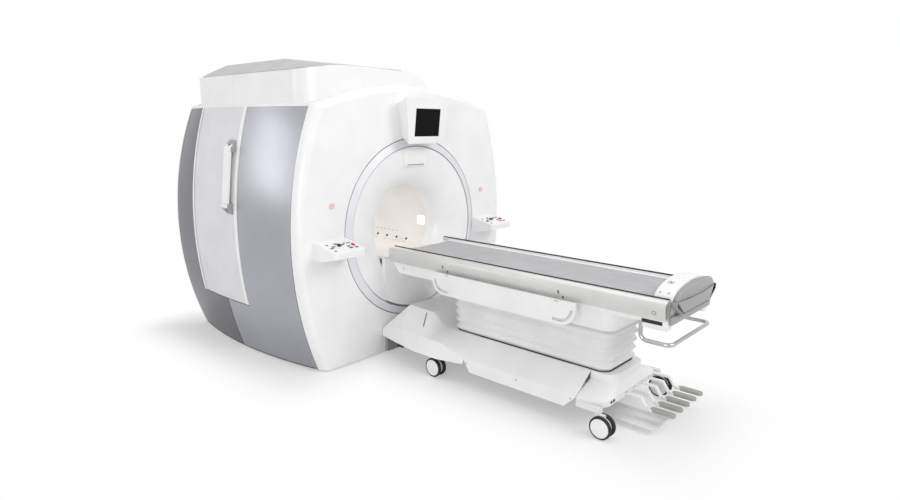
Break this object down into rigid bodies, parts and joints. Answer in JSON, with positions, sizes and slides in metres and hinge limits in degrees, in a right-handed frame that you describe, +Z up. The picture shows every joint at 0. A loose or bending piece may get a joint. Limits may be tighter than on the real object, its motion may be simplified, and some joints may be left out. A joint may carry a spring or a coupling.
{
  "type": "magnetic resonance (MRI) scanner with docked patient table",
  "caption": "Closed-bore whole-body magnetic resonance scanner with bell-mouthed bore and a detachable wheeled patient table docked at its front.",
  "frame": {"origin": "on the floor, under the middle of the magnet", "axes": "+Z up, +Y from the table through the bore towards the magnet's back, +X to the right seen from the front"},
  "size_m": [2.6696, 4.57, 2.456],
  "materials": {
    "white_shell": "satin",
    "silver_panel": "satin",
    "grey_panel": "satin",
    "cream_liner": "matte",
    "screen_glass": "gloss",
    "dark_paint": "matte",
    "steel": "satin",
    "copper_winding": "satin",
    "aluminium": "satin",
    "grey_vinyl": "matte",
    "grey_plastic": "matte",
    "bellows_rubber": "matte",
    "red_plastic": "gloss",
    "tyre": "matte"
  },
  "bodies": {
    "magnet": {"bore_liner": "cream_liner", "bridge": "cream_liner", "coil_set": "copper_winding", "cold_head": "steel", "console_left": "white_shell", "console_right": "white_shell", "cover_frame": "aluminium", "crown": "white_shell", "cryostat_vessel": "steel", "dock_block": "grey_plastic", "door_panels": "grey_panel", "front_cover": "white_shell", "front_flare": "white_shell", "front_panels": "silver_panel", "gradient_coil": "aluminium", "light_box": "white_shell", "magnet_base": "dark_paint", "panel_handles": "white_shell", "pedestal": "white_shell", "rear_cover": "white_shell", "rear_flare": "white_shell", "rear_panels": "silver_panel", "ring_band": "silver_panel", "roof": "grey_panel", "screen": "screen_glass", "screen_housing": "white_shell", "top_cover": "white_shell"},
    "table_base": {"base_chassis": "aluminium", "base_hood": "white_shell", "base_sides": "white_shell", "base_rear_cover": "white_shell", "bellows": "bellows_rubber"},
    "table_top": {"table_frame": "white_shell", "side_tubes": "aluminium", "push_handle": "aluminium"},
    "cradle_body": {"cradle": "white_shell", "cradle_pad": "grey_vinyl", "foot_box": "white_shell", "end_cap": "grey_plastic"},
    "side_rail_left_body": {"side_rail_left": "white_shell"},
    "side_rail_right_body": {"side_rail_right": "white_shell"},
    "pedal_1_body": {"pedal_1": "grey_plastic"},
    "pedal_2_body": {"pedal_2": "grey_plastic"},
    "pedal_3_body": {"pedal_3": "grey_plastic"},
    "pedal_4_body": {"pedal_4": "grey_plastic"},
    "pedal_5_body": {"pedal_5": "grey_plastic"},
    "dial_left_body": {"dial_left": "grey_plastic"},
    "stop_key_left_body": {"stop_key_left": "red_plastic"},
    "stop_button_left_body": {"stop_button_left": "red_plastic"},
    "fork_front_left_body": {"fork_front_left": "white_shell"},
    "wheels_front_left_body": {"wheels_front_left": "tyre"},
    "fork_rear_left_body": {"fork_rear_left": "white_shell"},
    "wheels_rear_left_body": {"wheels_rear_left": "tyre"},
    "dial_right_body": {"dial_right": "grey_plastic"},
    "stop_key_right_body": {"stop_key_right": "red_plastic"},
    "stop_button_right_body": {"stop_button_right": "red_plastic"},
    "fork_front_right_body": {"fork_front_right": "white_shell"},
    "wheels_front_right_body": {"wheels_front_right": "tyre"},
    "fork_rear_right_body": {"fork_rear_right": "white_shell"},
    "wheels_rear_right_body": {"wheels_rear_right": "tyre"}
  },
  "joints": [
    {"name": "table_undock", "type": "slide", "parent": "magnet", "child": "table_base", "axis": [0, 1, 0], "range_m": [-1.2, 0]},
    {"name": "table_lift", "type": "slide", "parent": "table_base", "child": "table_top", "axis": [0, 0, 1], "range_m": [-0.2, 0], "deforming": ["bellows"]},
    {"name": "cradle_travel", "type": "slide", "parent": "table_top", "child": "cradle_body", "axis": [0, 1, 0], "range_m": [0, 1.75]},
    {"name": "side_rail_left_swing", "type": "hinge", "parent": "table_top", "child": "side_rail_left_body", "pos_m": [-0.374, -2.2, 0.81], "axis": [0, 1, 0], "range_deg": [0, 175]},
    {"name": "side_rail_right_swing", "type": "hinge", "parent": "table_top", "child": "side_rail_right_body", "pos_m": [0.374, -2.2, 0.81], "axis": [0, -1, 0], "range_deg": [0, 175]},
    {"name": "swivel_front_left", "type": "hinge", "parent": "table_base", "child": "fork_front_left_body", "pos_m": [-0.43, -1.627, 0.16], "axis": [0, 0, 1], "continuous": true},
    {"name": "spin_front_left", "type": "hinge", "parent": "fork_front_left_body", "child": "wheels_front_left_body", "pos_m": [-0.43, -1.662, 0.075], "axis": [1, 0, 0], "continuous": true},
    {"name": "swivel_front_right", "type": "hinge", "parent": "table_base", "child": "fork_front_right_body", "pos_m": [0.43, -1.627, 0.16], "axis": [0, 0, 1], "continuous": true},
    {"name": "spin_front_right", "type": "hinge", "parent": "fork_front_right_body", "child": "wheels_front_right_body", "pos_m": [0.43, -1.662, 0.075], "axis": [1, 0, 0], "continuous": true},
    {"name": "swivel_rear_left", "type": "hinge", "parent": "table_base", "child": "fork_rear_left_body", "pos_m": [-0.43, -3.075, 0.16], "axis": [0, 0, 1], "continuous": true},
    {"name": "spin_rear_left", "type": "hinge", "parent": "fork_rear_left_body", "child": "wheels_rear_left_body", "pos_m": [-0.43, -3.11, 0.075], "axis": [1, 0, 0], "continuous": true},
    {"name": "swivel_rear_right", "type": "hinge", "parent": "table_base", "child": "fork_rear_right_body", "pos_m": [0.43, -3.075, 0.16], "axis": [0, 0, 1], "continuous": true},
    {"name": "spin_rear_right", "type": "hinge", "parent": "fork_rear_right_body", "child": "wheels_rear_right_body", "pos_m": [0.43, -3.11, 0.075], "axis": [1, 0, 0], "continuous": true},
    {"name": "pedal_1_press", "type": "hinge", "parent": "table_base", "child": "pedal_1_body", "pos_m": [-0.085, -3.03, 0.183], "axis": [1, 0, 0], "range_deg": [0, 8], "stiffness_Nm_per_rad": 15, "springref_deg": -17.19},
    {"name": "pedal_2_press", "type": "hinge", "parent": "table_base", "child": "pedal_2_body", "pos_m": [0.029, -3.03, 0.183], "axis": [1, 0, 0], "range_deg": [0, 8], "stiffness_Nm_per_rad": 15, "springref_deg": -17.19},
    {"name": "pedal_3_press", "type": "hinge", "parent": "table_base", "child": "pedal_3_body", "pos_m": [0.143, -3.03, 0.183], "axis": [1, 0, 0], "range_deg": [0, 8], "stiffness_Nm_per_rad": 15, "springref_deg": -17.19},
    {"name": "pedal_4_press", "type": "hinge", "parent": "table_base", "child": "pedal_4_body", "pos_m": [0.257, -3.03, 0.183], "axis": [1, 0, 0], "range_deg": [0, 8], "stiffness_Nm_per_rad": 15, "springref_deg": -17.19},
    {"name": "pedal_5_press", "type": "hinge", "parent": "table_base", "child": "pedal_5_body", "pos_m": [0.371, -3.03, 0.183], "axis": [1, 0, 0], "range_deg": [0, 8], "stiffness_Nm_per_rad": 15, "springref_deg": -17.19},
    {"name": "dial_left_turn", "type": "hinge", "parent": "magnet", "child": "dial_left_body", "pos_m": [-0.927, -1.128, 1.03664], "axis": [0, -0.209, 0.9779], "continuous": true},
    {"name": "stop_key_left_press", "type": "slide", "parent": "magnet", "child": "stop_key_left_body", "axis": [0, 0.209, -0.9779], "range_m": [0, 0.004], "stiffness_N_per_m": 800, "springref_m": -0.004},
    {"name": "stop_button_left_press", "type": "slide", "parent": "magnet", "child": "stop_button_left_body", "axis": [0, 1, 0], "range_m": [0, 0.004], "stiffness_N_per_m": 900, "springref_m": -0.004},
    {"name": "dial_right_turn", "type": "hinge", "parent": "magnet", "child": "dial_right_body", "pos_m": [0.903, -1.128, 1.03664], "axis": [0, -0.209, 0.9779], "continuous": true},
    {"name": "stop_key_right_press", "type": "slide", "parent": "magnet", "child": "stop_key_right_body", "axis": [0, 0.209, -0.9779], "range_m": [0, 0.004], "stiffness_N_per_m": 800, "springref_m": -0.004},
    {"name": "stop_button_right_press", "type": "slide", "parent": "magnet", "child": "stop_button_right_body", "axis": [0, 1, 0], "range_m": [0, 0.004], "stiffness_N_per_m": 900, "springref_m": -0.004}
  ]
}
